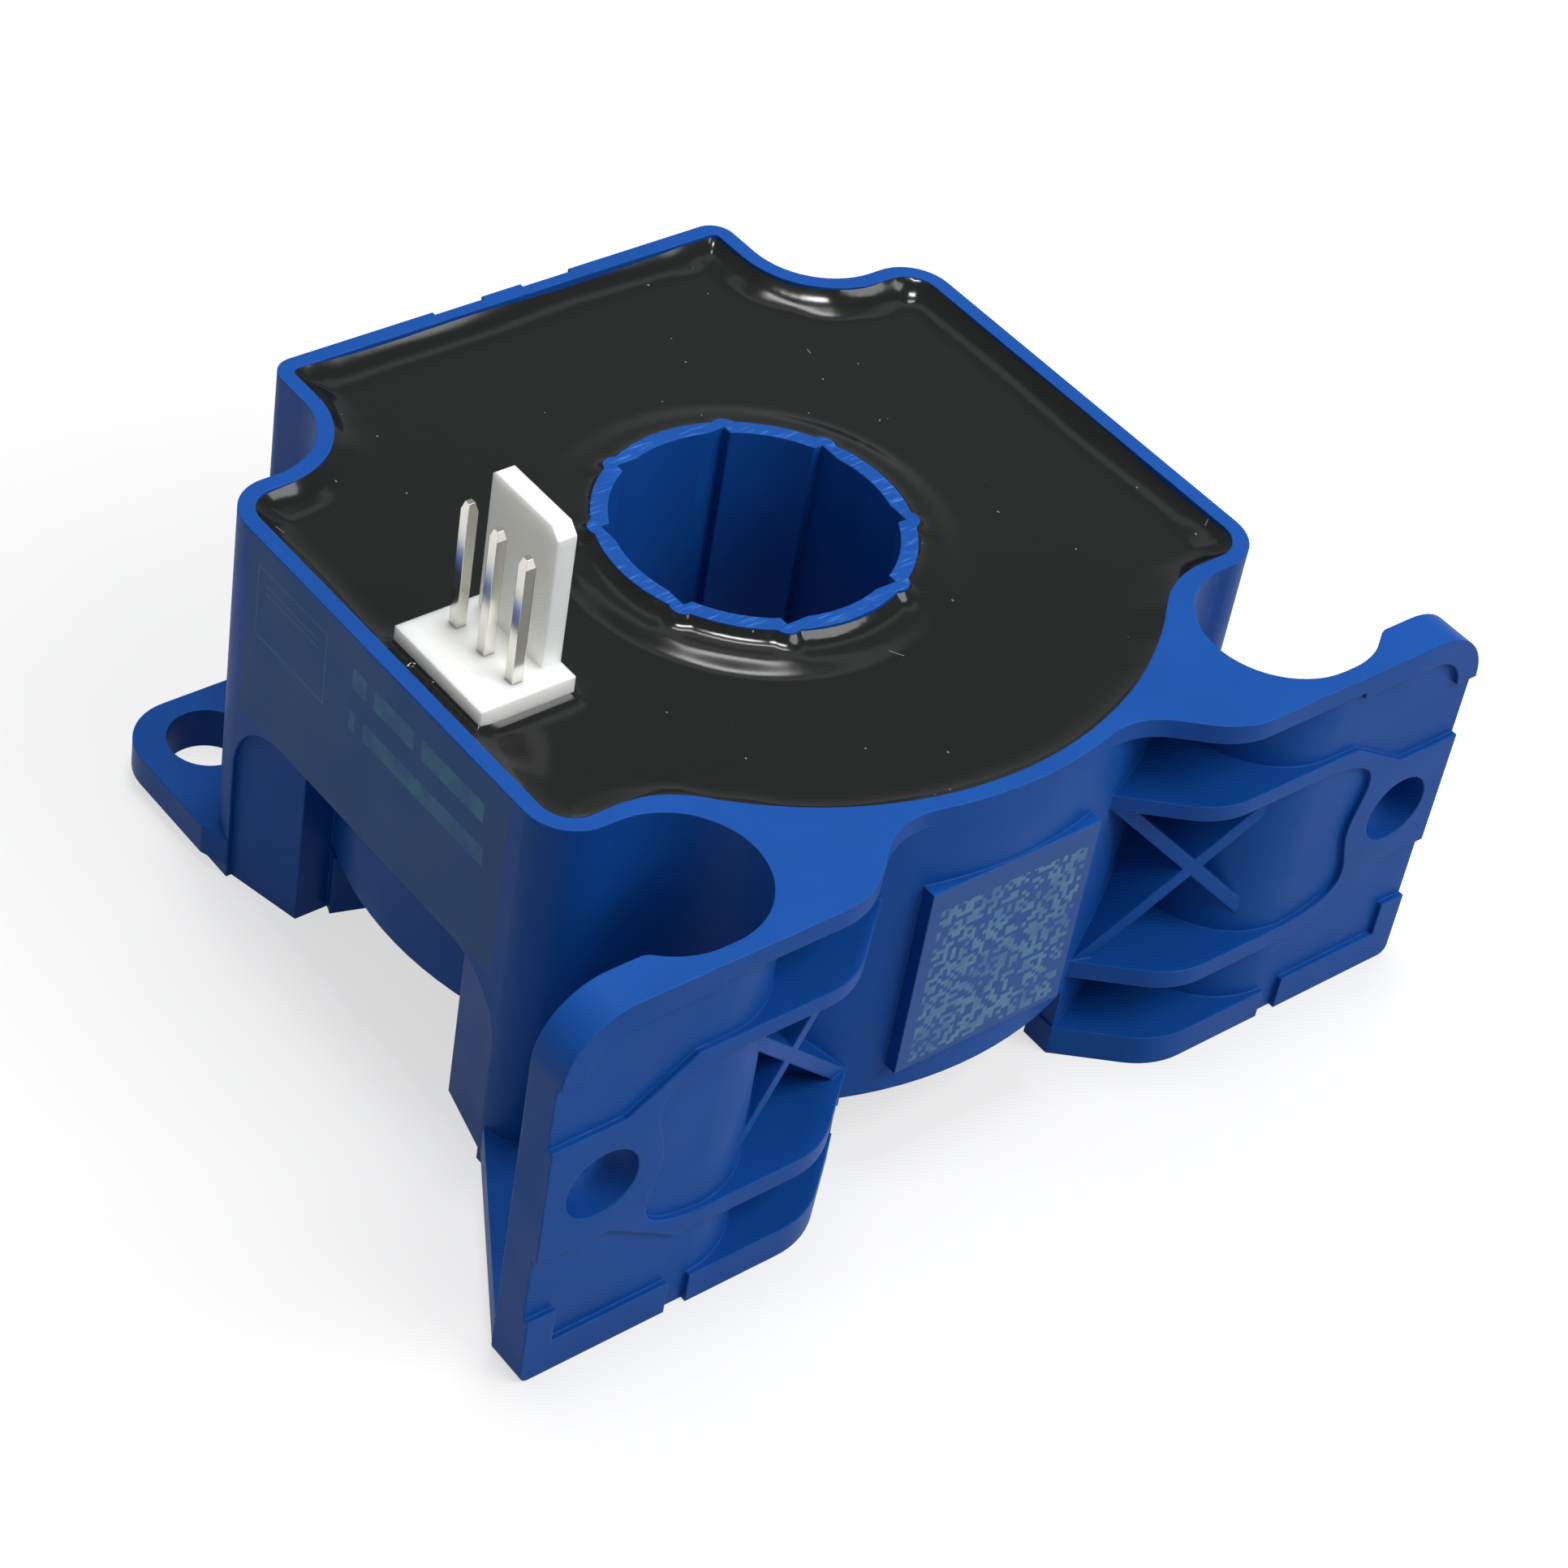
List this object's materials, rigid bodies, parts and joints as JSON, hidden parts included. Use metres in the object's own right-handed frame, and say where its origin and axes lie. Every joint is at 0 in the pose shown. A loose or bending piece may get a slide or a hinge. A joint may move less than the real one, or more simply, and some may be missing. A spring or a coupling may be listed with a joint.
{
  "type": "hall effect current sensor",
  "caption": "Potted block with a central through hole for a conductor, a pin header on top, upright feet and corner ears for screws; measures current without contact.",
  "frame": {"origin": "on the through hole's axis in the bottom mounting plane, at the centre of the four base screw holes", "axes": "+Z along the through hole, up to the open potted side; -Y the side with the two feet; -X the side with the header"},
  "size_m": [0.062, 0.0502, 0.0345],
  "materials": {
    "blue_plastic": "satin moulded thermoplastic",
    "black_potting": "glossy cast resin",
    "white_nylon": "satin moulded nylon, slightly translucent",
    "tinned_pin": "bright tin plate",
    "board_laminate": "glass-epoxy laminate with green mask",
    "core_steel": "bare magnetic alloy",
    "cup_plastic": "matt moulded",
    "enamelled_wire": "enamelled copper",
    "chip_epoxy": "matt moulded epoxy",
    "capacitor_resin": "moulded resin",
    "chip_ceramic": "sintered ceramic"
  },
  "bodies": {
    "root": {"housing": "blue_plastic", "potting_compound": "black_potting", "header_body": "white_nylon", "header_pin_1": "tinned_pin", "header_pin_2": "tinned_pin", "header_pin_3": "tinned_pin", "circuit_board": "board_laminate", "magnetic_core": "core_steel", "core_cup_lower": "cup_plastic", "core_cup_upper": "cup_plastic", "secondary_winding": "enamelled_wire", "winding_lead_start": "enamelled_wire", "winding_lead_finish": "enamelled_wire", "hall_element": "chip_epoxy", "control_chip": "chip_epoxy", "output_transistor_high": "chip_epoxy", "output_transistor_low": "chip_epoxy", "supply_capacitor_plus": "capacitor_resin", "supply_capacitor_minus": "capacitor_resin", "protection_diode_plus": "chip_epoxy", "protection_diode_minus": "chip_epoxy", "chip_resistors": "chip_ceramic", "chip_capacitors": "chip_ceramic"}
  },
  "joints": []
}
